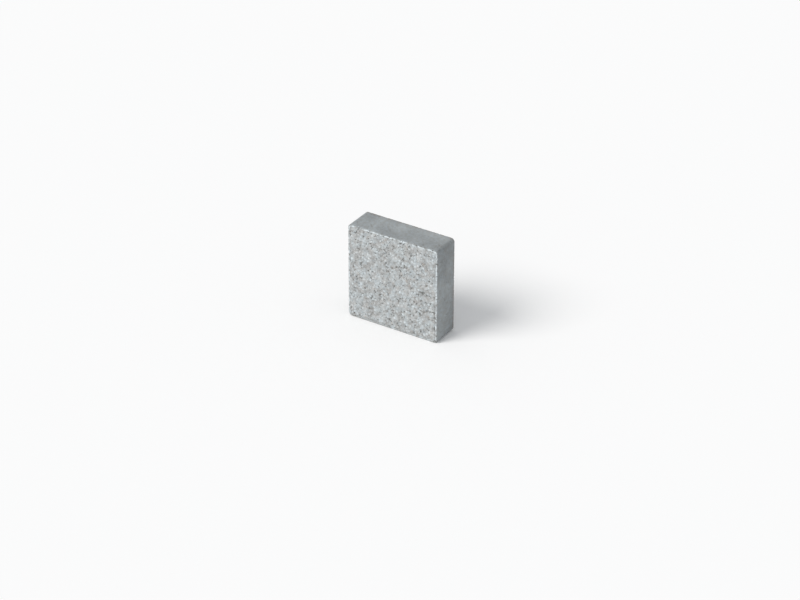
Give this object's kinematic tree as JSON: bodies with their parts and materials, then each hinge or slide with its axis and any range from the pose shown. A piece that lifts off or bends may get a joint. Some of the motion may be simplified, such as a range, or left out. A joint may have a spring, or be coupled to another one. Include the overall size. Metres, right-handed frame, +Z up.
{
  "type": "concrete paver",
  "caption": "Square concrete paving block with a bevelled, fine exposed-grain wearing face and plain pressed sides, for laying on a sand bed.",
  "frame": {"origin": "on the floor, under the middle of the block as it stands on one of its sides", "axes": "+Z up, +Y through the thickness from the wearing face to the bed face, +X across the wearing face; the wearing face looks towards -Y"},
  "size_m": [0.198, 0.062, 0.198],
  "materials": {
    "concrete": "matte"
  },
  "bodies": {
    "root": {"paver": "concrete"}
  },
  "joints": []
}
